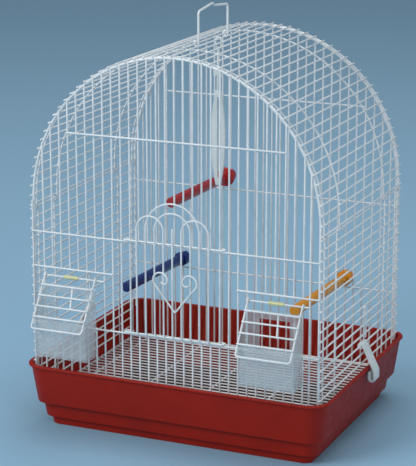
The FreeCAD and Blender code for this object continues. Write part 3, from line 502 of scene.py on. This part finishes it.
def crossings(lines):
    """Where wires touch: point, direction from one to the other, and the thinner one's radius."""
    starts, ends, radii, owners = [], [], [], []
    for owner, (line, dia, closed) in enumerate(lines):
        pairs = zip(line, line[1:] + line[:1]) if closed else zip(line, line[1:])
        for a, b in pairs:
            starts.append(tuple(a))
            ends.append(tuple(b))
            radii.append(dia / 2)
            owners.append(owner)
    p, q = np.array(starts), np.array(ends)
    size, owner = np.array(radii), np.array(owners)
    low, high = np.minimum(p, q) - size[:, None], np.maximum(p, q) + size[:, None]
    found = {}
    for i in range(len(p) - 1):
        rest = slice(i + 1, None)
        near = np.all((low[i] <= high[rest]) & (high[i] >= low[rest]), axis=1)
        j = np.nonzero(near & (owner[rest] != owner[i]))[0] + i + 1
        if not len(j):
            continue
        one, two, apart = q[i] - p[i], q[j] - p[j], p[i] - p[j]
        a, e, b = one @ one, np.sum(two * two, axis=1), two @ one
        c, f = apart @ one, np.sum(two * apart, axis=1)
        spread = np.maximum(a * e - b * b, LEAST_SPREAD)
        s = np.clip((b * f - c * e) / spread, 0, 1)
        t = np.clip((b * s + f) / e, 0, 1)
        s = np.clip((b * t - c) / a, 0, 1)
        on_one, on_two = p[i] + s[:, None] * one, p[j] + t[:, None] * two
        gap = np.linalg.norm(on_two - on_one, axis=1)
        limit = size[i] + size[j]
        touching = (gap < limit + TOUCH_SLACK) & (gap > limit / 2)
        crossed = np.abs(b) < PARALLEL_SHARE * np.sqrt(a * e)
        for k in np.nonzero(touching & crossed)[0]:
            way = Vector(on_two[k] - on_one[k]).normalized()
            spot = Vector(on_one[k]) + way * size[i]
            key = (owner[i], owner[j[k]], *(round(c / DROP_SPACE) for c in spot))
            found[key] = (spot, way, min(size[i], size[j[k]]))
    return list(found.values())


def drops(name, lines, body):
    """Drops of coat at the welds, as one piece."""
    verts, faces = [], []
    for spot, way, radius in crossings(lines):
        side = way.orthogonal().normalized()
        other = way.cross(side)
        start = len(verts)
        for turn in DROP_TURNS:
            lift = way * math.sin(turn) * radius * DROP_DEPTH_SHARE
            reach = math.cos(turn) * radius * DROP_WIDTH_SHARE
            for step in range(DROP_SIDES):
                at = 2 * math.pi * step / DROP_SIDES
                verts.append(spot + lift + (side * math.cos(at) + other * math.sin(at)) * reach)
        under = len(verts)
        verts.append(spot - way * radius * DROP_DEPTH_SHARE)
        verts.append(spot + way * radius * DROP_DEPTH_SHARE)
        top = under - DROP_SIDES
        for step in range(DROP_SIDES):
            on = (step + 1) % DROP_SIDES
            faces.append((start + step, start + on, under))
            for ring in range(start, top, DROP_SIDES):
                faces.append((ring + step, ring + on, ring + DROP_SIDES + on, ring + DROP_SIDES + step))
            faces.append((top + step, top + on, under + 1))
    piece(name, verts, faces, white_vinyl_coat, body, "white_wire", sharp=math.pi)


drops("weld_drops_body", body_lines, "cage")

# Door: four hairpins of different widths and a straight wire, welded to two rails whose ends hook
# round the guide wires, so that the door slides up between them.
DOOR_WIRE_Y = -130.9
DOOR_MIDDLE_Y = -130.85
DOOR_MIDDLE_DIA = 1.8
DOOR_FOOT_Z = 120.25
DOOR_SPRING_Z = 234.5
DOOR_STUB_Z = 238.7
PITCH_X = 10.1
DOOR_X = 3
DOOR_HAIRPINS = (
    # left and right leg in wire pitches, y, diameter
    (-4, -1, DOOR_WIRE_Y, WIRE_DIA),
    (1, 4, DOOR_WIRE_Y, WIRE_DIA),
    (-2, 2, DOOR_MIDDLE_Y, DOOR_MIDDLE_DIA),
    (-3, 3, DOOR_MIDDLE_Y, DOOR_MIDDLE_DIA),
)
DOOR_ARCH_STEPS = 24
DOOR_RAILS = {"door_top_rail": 221.2, "door_bottom_rail": 121.2}
RAIL_Y = -129.05
RAIL_BACK_Y = -122.9
RAIL_HOOK_X = 53.5
RAIL_TAIL = 5.5

door_pins = []
for left, right, y, dia in DOOR_HAIRPINS:
    middle, half = DOOR_X + (left + right) / 2 * PITCH_X, (right - left) / 2 * PITCH_X
    line = [Vector((middle + half, y, DOOR_FOOT_Z))]
    for step in range(DOOR_ARCH_STEPS + 1):
        turn = math.pi * step / DOOR_ARCH_STEPS
        line.append(Vector((middle + half * math.cos(turn), y, DOOR_SPRING_Z + half * math.sin(turn))))
    door_pins.append((line + [Vector((middle - half, y, DOOR_FOOT_Z))], dia, False))

door_rails = []
for node, z in DOOR_RAILS.items():
    bend = (RAIL_BACK_Y - RAIL_Y) / 2
    out, tail = RAIL_HOOK_X + bend, RAIL_HOOK_X - RAIL_TAIL
    corners = [(DOOR_X + x, y, z)
               for x, y in ((-tail, RAIL_BACK_Y), (-out, RAIL_BACK_Y), (-out, RAIL_Y),
                            (out, RAIL_Y), (out, RAIL_BACK_Y), (tail, RAIL_BACK_Y))]
    door_rails.append((bent_line(corners, [bend] * 4), WIRE_DIA, False))
    wires(node + "_coated", door_rails[-1:], "door", node)
wires("door_wires", door_pins, "door", "door_hairpins")
stub = ([Vector((DOOR_X, DOOR_WIRE_Y, z)) for z in (DOOR_FOOT_Z, DOOR_STUB_Z)], WIRE_DIA, False)
wires("door_wire_middle", [stub], "door", "door_middle_wire")

# Heart on the door: two scrolls of the same coated wire, bent over pins and welded to each other at
# the tip and to the front of the hairpins.
HEART_X = 6.6
HEART_Y = -132.75
HEART_TIP_Z = 150.2
LOBE_Z = 183.5
LOBE_X = 16.5
LOBE_RADIUS = 8
CURL_RADIUS = 3.9
CURL_SHARE = 0.85
SCROLL_STEPS = 16


def scroll(side):
    """Centre line of one half: straight from the tip, over the lobe and into the curl."""
    drop = LOBE_Z - HEART_TIP_Z
    lean = math.atan2(LOBE_X, drop) + math.asin(LOBE_RADIUS / math.hypot(LOBE_X, drop))
    flat = [(0, -drop)]
    for centre, radius, first, last in ((LOBE_X, LOBE_RADIUS, -lean, math.pi),
                                        (LOBE_X - LOBE_RADIUS + CURL_RADIUS, CURL_RADIUS, math.pi,
                                         math.pi * (1 + CURL_SHARE))):
        for step in range(0 if len(flat) == 1 else 1, SCROLL_STEPS + 1):
            turn = first + (last - first) * step / SCROLL_STEPS
            flat.append((centre + radius * math.cos(turn), radius * math.sin(turn)))
    return [Vector((HEART_X + side * x, HEART_Y, LOBE_Z + z)) for x, z in flat]


heart_lines = [(scroll(side), WIRE_DIA, False) for side in (-1, 1)]
wires("heart", heart_lines, "door", "door_heart")
drops("weld_drops_door", door_pins + door_rails + [stub] + heart_lines, "door")

# Feeder flaps: a bent frame whose ends curl round the hinge wire, four bars and a short middle wire
# welded across it. They hang on the hinge wires and lean on the cups.
FLAP_X = {"left": -116.75, "right": 115.55}
HINGE_Y = -126.85
HINGE_Z = 172
FLAP_HALF = 29.55
FLAP_LENGTH = 60.3
FLAP_CORNER = 3
FLAP_TILT = math.radians(34)
FLAP_BAR_PITCH = 11.9
FLAP_BARS = 4
# the short middle wire runs from the first bar to the third
FLAP_STUB_BARS = (1, 3)
FLAP_STUB_X = (6.2, 10.2)
FLAP_EYE = 2.1
FLAP_BAR_Y = -3.95
EYE_SHARE = 0.83
EYE_TURN = 2 * math.pi * EYE_SHARE
EYE_STEPS = 20

for side, x in FLAP_X.items():
    hang = Matrix.Translation((x, HINGE_Y, HINGE_Z)) @ Matrix.Rotation(-FLAP_TILT, 4, "X")
    eyes = []
    for end in (-FLAP_HALF, FLAP_HALF):
        turns = [math.pi - EYE_TURN * (1 - step / EYE_STEPS) for step in range(EYE_STEPS + 1)]
        eyes.append([Vector((end, FLAP_EYE * math.cos(turn), FLAP_EYE * math.sin(turn)))
                     for turn in turns])
    corners = [eyes[0][-1], (-FLAP_HALF, -FLAP_EYE, -FLAP_LENGTH),
               (FLAP_HALF, -FLAP_EYE, -FLAP_LENGTH), eyes[1][-1]]
    line = eyes[0][:-1] + bent_line(corners, [FLAP_CORNER] * 2) + eyes[1][-2::-1]
    flap = [([hang @ point for point in line], WIRE_DIA, False)]
    wires(f"flap_{side}_frame_coated", flap, f"flap_{side}", f"feeder_flap_{side}_frame")
    bars = []
    half = FLAP_HALF + WIRE_DIA / 2
    for step in range(1, FLAP_BARS + 1):
        z = -step * FLAP_BAR_PITCH
        bars.append(([Vector((-half, FLAP_BAR_Y, z)), Vector((half, FLAP_BAR_Y, z))], WIRE_DIA, False))
    top = -FLAP_STUB_BARS[0] * FLAP_BAR_PITCH + WIRE_DIA / 2
    low = -FLAP_STUB_BARS[1] * FLAP_BAR_PITCH - WIRE_DIA / 2
    stub_line = [Vector((x, -FLAP_EYE, z)) for x, z in zip(FLAP_STUB_X, (top, low))]
    bars.append((stub_line, WIRE_DIA, False))
    bars = [([hang @ point for point in line], dia, closed) for line, dia, closed in bars]
    wires(f"flap_{side}_bars_coated", bars, f"flap_{side}", f"feeder_flap_{side}_bars")
    drops(f"weld_drops_flap_{side}", flap + bars, f"flap_{side}")

# Sleeves on the hinge wires: short lengths of cream PVC tube, cut from an extruded length and slid on
# before the wires were welded. They keep the flap from rattling.
SLEEVE_DIA = 4
SLEEVE_BORE = 2
SLEEVE_LENGTH = 17
SLEEVE_SHIFT = 1
SLEEVE_EASE = 0.3
TURNED_SIDES = 40


def turned(profile, place, loop=False):
    """Vertices and faces of a profile of (place along the axis, radius) turned about an axis."""
    verts = []
    for along, radius in profile:
        for step in range(TURNED_SIDES):
            turn = 2 * math.pi * step / TURNED_SIDES
            verts.append(place @ Vector((radius * math.cos(turn), radius * math.sin(turn), along)))
    faces = []
    count = len(profile)
    for ring in range(count if loop else count - 1):
        here, there = ring * TURNED_SIDES, (ring + 1) % count * TURNED_SIDES
        for step in range(TURNED_SIDES):
            on = (step + 1) % TURNED_SIDES
            faces.append((here + step, here + on, there + on, there + step))
    if not loop:
        faces.append(tuple(range(TURNED_SIDES)))
        faces.append(tuple(range(len(verts) - TURNED_SIDES, len(verts))))
    return verts, faces


# Soft PVC, IOR 1.53: satin, a little yellowed
cream_pvc = moulded("cream_pvc_tube", "#DCDDA8", "#CFCF98", ior=1.53, roughness=0.4,
                    cloud_mm=12, grain_mm=0.9, grain_depth_mm=0.02)

half, outer, bore = SLEEVE_LENGTH / 2, SLEEVE_DIA / 2, SLEEVE_BORE / 2
sleeve_profile = [(-half, bore + SLEEVE_EASE), (-half, outer - SLEEVE_EASE),
                  (-half + SLEEVE_EASE, outer), (half - SLEEVE_EASE, outer),
                  (half, outer - SLEEVE_EASE), (half, bore + SLEEVE_EASE),
                  (half - SLEEVE_EASE, bore), (-half + SLEEVE_EASE, bore)]
sleeve_verts, sleeve_faces = [], []
for x in FLAP_X.values():
    place = (Matrix.Translation((x + SLEEVE_SHIFT, HINGE_Y, HINGE_Z))
             @ Matrix.Rotation(math.pi / 2, 4, "Y"))
    verts, faces = turned(sleeve_profile, place, loop=True)
    sleeve_faces += [tuple(at + len(sleeve_verts) for at in face) for face in faces]
    sleeve_verts += verts
piece("sleeves", sleeve_verts, sleeve_faces, cream_pvc, "cage", "cream_sleeve", "hinge_sleeves")

# Seed cups: thin injection moulded boxes in clear polystyrene, milky from use, with tall cheeks
# under the flap, a window in the back and two tabs that hook over the sill wire.
CUP_EASE = 0.5
EASE_STEPS = 2
# the cup's standing corners are rounder than its other edges
CUP_CORNER = 1.3
CUP_CORNER_STEPS = 4
CORNER_LEAST = 40
UPRIGHT_SHARE = 0.9
JOIN_DIST = 0.001
FLAT_ANGLE = math.radians(0.5)
# Scratches and dust lie in patches about 9 mm across. Seen edge on, a wall holds this much more light.
DUST_PATCH = 9
DUST_RANGE = (0.3, 0.7)
DUST_SPREAD = 0.04
EDGE_ON_BLEND = 0.3
EDGE_ON_SHARE = 0.15


def upright_edge(edge):
    """True for an edge that stands up along a whole corner, taller than the window's sides."""
    way = edge.verts[1].co - edge.verts[0].co
    return abs(way.z) > UPRIGHT_SHARE * way.length and way.length > CORNER_LEAST * MM


def eased_copy(node, name, finish, body, slot, ease, wide=None):
    """A copy of a CAD node with its sharp edges rounded. Wide picks edges that are rounded first."""
    work = bmesh.new()
    work.from_mesh(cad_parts[node].data)
    bmesh.ops.remove_doubles(work, verts=work.verts, dist=JOIN_DIST * MM)
    bmesh.ops.dissolve_limit(work, angle_limit=FLAT_ANGLE, verts=work.verts, edges=work.edges)
    passes = [(None, ease, EASE_STEPS)]
    if wide:
        passes.insert(0, (wide, CUP_CORNER, CUP_CORNER_STEPS))
    for picks, offset, steps in passes:
        chosen = [edge for edge in work.edges if edge.is_manifold
                  and edge.calc_face_angle() > SHARP_ANGLE and (picks is None or picks(edge))]
        bmesh.ops.bevel(work, geom=chosen, offset=offset * MM, segments=steps, profile=0.5,
                        affect="EDGES", clamp_overlap=True)
    work.verts.index_update()
    verts = [vertex.co / MM for vertex in work.verts]
    faces = [tuple(vertex.index for vertex in face.verts) for face in work.faces]
    work.free()
    piece(name, verts, faces, finish, body, slot, node)


def clear_moulding(name, tint, ior, roughness, haze):
    """Thin clear moulding: most light goes straight through, and scratches and dust hold a share."""
    made = bpy.data.materials.new(name)
    made.use_nodes = True
    tree = made.node_tree
    shader = tree.nodes["Principled BSDF"]
    spot = add(tree, "TexCoord").outputs["Object"]
    scratch = add(tree, "TexNoise", {"Vector": spot, "Scale": per_metre(DUST_PATCH), "Detail": 5})
    dust = add(tree, "MapRange", {"Value": scratch.outputs["Fac"],
                                  "From Min": DUST_RANGE[0], "From Max": DUST_RANGE[1],
                                  "To Min": haze - DUST_SPREAD, "To Max": haze + DUST_SPREAD})
    edge_on = add(tree, "LayerWeight", {"Blend": EDGE_ON_BLEND})
    held = add(tree, "Math", {0: edge_on.outputs["Facing"], 1: EDGE_ON_SHARE,
                              2: dust.outputs["Result"]}, operation="MULTIPLY_ADD", use_clamp=True)
    tree.links.new(held.outputs["Value"], shader.inputs["Alpha"])
    shader.inputs["Base Color"].default_value = linear(tint)
    shader.inputs["Roughness"].default_value = roughness
    shader.inputs["IOR"].default_value = ior
    return made


# Polystyrene, IOR 1.59: clear when new, milky from scratches and dust
milky_polystyrene = clear_moulding("milky_polystyrene_moulded", "#D5DEE1", ior=1.59, roughness=0.18,
                                   haze=0.29)
for side in FLAP_X:
    eased_copy(f"feeder_cup_{side}", f"cup_{side}_eased", milky_polystyrene, f"cup_{side}", "clear_cup",
               CUP_EASE, wide=upright_edge)

# Perches: turned and injection moulded rods, gloss polystyrene in red, navy and orange. The red one
# is held by a flange and knob on both sides of the back panel, the others by slotted heads.
PERCH_DIA = 11.5
PANEL_Y = 125
# x, height and dip to the back in degrees
RED_PERCH = (-45.45, 234, 1.5)
# from and to along the perch's axis, measured from the panel, and diameter
FLANGE = (-4.25, -1.25, 22)
KNOB = (1.25, 11.25, 15)
NECK_DIA = 6.5
RED_ROD = (-153.25, -4.25)
EDGE_EASE = 0.8
EASE_ANGLES = [math.radians(turn) for turn in (30, 60)]


def rounded_rod(low, high, dia, ease):
    """Profile of a rod with eased ends."""
    radius = dia / 2
    rise = [(1 - math.cos(turn), math.sin(turn)) for turn in EASE_ANGLES]
    start = [(low, radius - ease)] + [(low + ease * a, radius - ease + ease * b) for a, b in rise]
    end = [(high - ease * a, radius - ease + ease * b) for a, b in rise[::-1]] + [(high, radius - ease)]
    return start + [(low + ease, radius), (high - ease, radius)] + end


def perch_place(x, z, tilt):
    """The perch's own frame: its axis runs back through the panel, and dips to the back by a tilt."""
    return (Matrix.Translation((x, PANEL_Y, z)) @ Matrix.Rotation(-math.radians(tilt), 4, "X")
            @ Matrix.Rotation(-math.pi / 2, 4, "X"))


# Gloss polystyrene, IOR 1.59: sharper and brighter reflections than the tray's
gloss = {"ior": 1.59, "roughness": 0.28, "cloud_mm": 25, "grain_mm": 0.9, "grain_depth_mm": 0.015}
red_polystyrene = moulded("red_polystyrene_moulded", "#B3221F", "#A21A1A", **gloss)
navy_polystyrene = moulded("navy_polystyrene_moulded", "#1D2F78", "#182663", **gloss)
orange_polystyrene = moulded("orange_polystyrene_moulded", "#E59A1E", "#D9860F", **gloss)

place = perch_place(*RED_PERCH)
for name, node, profile in (
        ("red_rod", "perch_red_rod", rounded_rod(*RED_ROD, PERCH_DIA, EDGE_EASE)),
        ("red_flange", "perch_red_flange", rounded_rod(*FLANGE, EDGE_EASE)),
        ("red_knob", "perch_red_knob", [(FLANGE[1], NECK_DIA / 2), (KNOB[0], NECK_DIA / 2)]
         + rounded_rod(*KNOB, EDGE_EASE))):
    piece(name, *turned(profile, place), red_polystyrene, "cage", "red_perch", node)
for colour, finish in (("blue", navy_polystyrene), ("orange", orange_polystyrene)):
    for part in ("rod", "head"):
        eased_copy(f"perch_{colour}_{part}", f"{colour}_{part}", finish, "cage", f"{colour}_perch",
                   EDGE_EASE)

# Hanging ornament: white polystyrene, a loop over the ridge bar with neck and block in one moulding
# and a slit leaf pressed on its stem.
HANGER_EASE = 0.5
white_polystyrene = moulded("white_polystyrene_moulded", "#E9ECEA", "#DFE3E0", ior=1.59, roughness=0.3,
                            cloud_mm=20, grain_mm=0.9, grain_depth_mm=0.015)
for part in ("loop", "leaf"):
    eased_copy(f"hanger_{part}", f"ornament_{part}", white_polystyrene, "hanger", "white_plastic",
               HANGER_EASE)

# Carrying handle: thicker coated wire with two eyes round the bar beside the ridge, square
# shoulders and a peak in its top for a hook.
HANDLE_DIA = 2.5
HANDLE_HALF = 38.7
HANDLE_EYE = 2.4
HANDLE_BEND = 4
HANDLE_BAR = (-10.4929, 0, 414.7127)
# y and height above the bar: two shoulders, with the peak and a low corner between them
HANDLE_POINTS = ((-HANDLE_HALF, 33.3), (-2.4, 37.6), (4.2, 34.6), (HANDLE_HALF, 31.6))

fold = Matrix.Translation(HANDLE_BAR)
turns = [-EYE_TURN * (1 - step / EYE_STEPS) for step in range(EYE_STEPS + 1)]
eyes = [[Vector((HANDLE_EYE * math.cos(turn), y, HANDLE_EYE * math.sin(turn))) for turn in turns]
        for y in (-HANDLE_HALF, HANDLE_HALF)]
corners = [eyes[0][-1], *[(HANDLE_EYE, y, z) for y, z in HANDLE_POINTS], eyes[1][-1]]
line = eyes[0][:-1] + bent_line(corners, [HANDLE_BEND] * 4) + eyes[1][-2::-1]
handle = ([fold @ point for point in line], HANDLE_DIA, False)
wires("handle_coated", [handle], "handle", "carry_handle", sides=THICK_WIRE_SIDES)

# Tray clips: bands moulded in white polystyrene, one on each side. Each turns by its eye on a side bar
# and holds the tray up by a hook under its lip.
CLIP_EASE = 0.5
for side in ("left", "right"):
    eased_copy(f"tray_clip_{side}", f"clip_{side}_eased", white_polystyrene, f"clip_{side}",
               "white_plastic", CLIP_EASE)

# Floor: a plain sheet of light blue backdrop paper, matt, that runs well past the view. It isn't
# part of the cage.
FLOOR_HALF = 12
PAPER_TINT = "#8CB3CC"
PAPER_ROUGHNESS = 0.9
floor_corners = [(x * FLOOR_HALF, y * FLOOR_HALF, 0) for x, y in ((-1, -1), (1, -1), (1, 1), (-1, 1))]
floor_mesh = bpy.data.meshes.new("floor")
floor_mesh.from_pydata(floor_corners, [], [(0, 1, 2, 3)])
floor = bpy.data.objects.new("floor", floor_mesh)
bpy.context.collection.objects.link(floor)
blue_paper = bpy.data.materials.new("blue_paper")
blue_paper.use_nodes = True
paper_shader = blue_paper.node_tree.nodes["Principled BSDF"]
paper_shader.inputs["Base Color"].default_value = linear(PAPER_TINT)
paper_shader.inputs["Roughness"].default_value = PAPER_ROUGHNESS
floor_mesh.materials.append(blue_paper)

# Light: three soft boxes, above the front left, the front right and behind, and an even pale room
# round them. Each box is turned to the cage's middle.
MIDDLE = Vector((0, 0, 0.2))
SOFT_BOXES = (
    # name, place and width in metres, watts
    ("key_box", (-1.5, -2.4, 2.0), 1.5, 56),
    ("fill_box", (2.4, -1.6, 1.4), 1.4, 14),
    ("top_box", (0.2, 0.6, 2.6), 1.8, 24),
)
ROOM_TINT = "#D5DEE6"
ROOM_STRENGTH = 0.45
# The tone of the floor far off, which is what shows past its edge
FAR_TINT = "#4F6B7E"

for name, spot, size, watts in SOFT_BOXES:
    lamp = bpy.data.lights.new(name, "AREA")
    lamp.size = size
    lamp.energy = watts
    box = bpy.data.objects.new(name, lamp)
    box.location = spot
    box.rotation_mode = "QUATERNION"
    box.rotation_quaternion = (MIDDLE - Vector(spot)).to_track_quat("-Z", "Y")
    bpy.context.collection.objects.link(box)
room = bpy.data.worlds.new("room")
bpy.context.scene.world = room
room.use_nodes = True
room_tree = room.node_tree
room_light = room_tree.nodes["Background"]
room_light.inputs["Color"].default_value = linear(ROOM_TINT)
room_light.inputs["Strength"].default_value = ROOM_STRENGTH
past_floor = add(room_tree, "Background", {"Color": linear(FAR_TINT), "Strength": 1})
ray = add(room_tree, "LightPath")
seen = add(room_tree, "Math", {0: ray.outputs["Is Camera Ray"], 1: ray.outputs["Is Glossy Ray"]},
           operation="ADD", use_clamp=True)
seen = add(room_tree, "Math", {0: seen.outputs["Value"], 1: ray.outputs["Is Transmission Ray"]},
           operation="ADD", use_clamp=True)
either = add(room_tree, "MixShader", {"Fac": seen.outputs["Value"],
                                      1: room_light.outputs["Background"],
                                      2: past_floor.outputs["Background"]})
room_tree.links.new(either.outputs["Shader"], room_tree.nodes["World Output"].inputs["Surface"])

# Camera: where the photograph was taken from, 2 m off, 23.6 degrees to the right of the front and
# 15 degrees above level.
CAMERA_SPOT = (0.7684, -1.7913, 0.7258)
CAMERA_PITCH = 15.04
CAMERA_YAW = 23.6
FOCAL_PIXELS = 1858
PICTURE_HEIGHT = 466
SENSOR = 36
camera = bpy.data.objects.new("camera", bpy.data.cameras.new("camera"))
camera.location = CAMERA_SPOT
camera.rotation_euler = (math.radians(90 - CAMERA_PITCH), 0, math.radians(CAMERA_YAW))
camera.data.sensor_width = SENSOR
camera.data.lens = FOCAL_PIXELS * SENSOR / PICTURE_HEIGHT
bpy.context.collection.objects.link(camera)
bpy.context.scene.camera = camera
bpy.context.scene.view_settings.view_transform = "Standard"
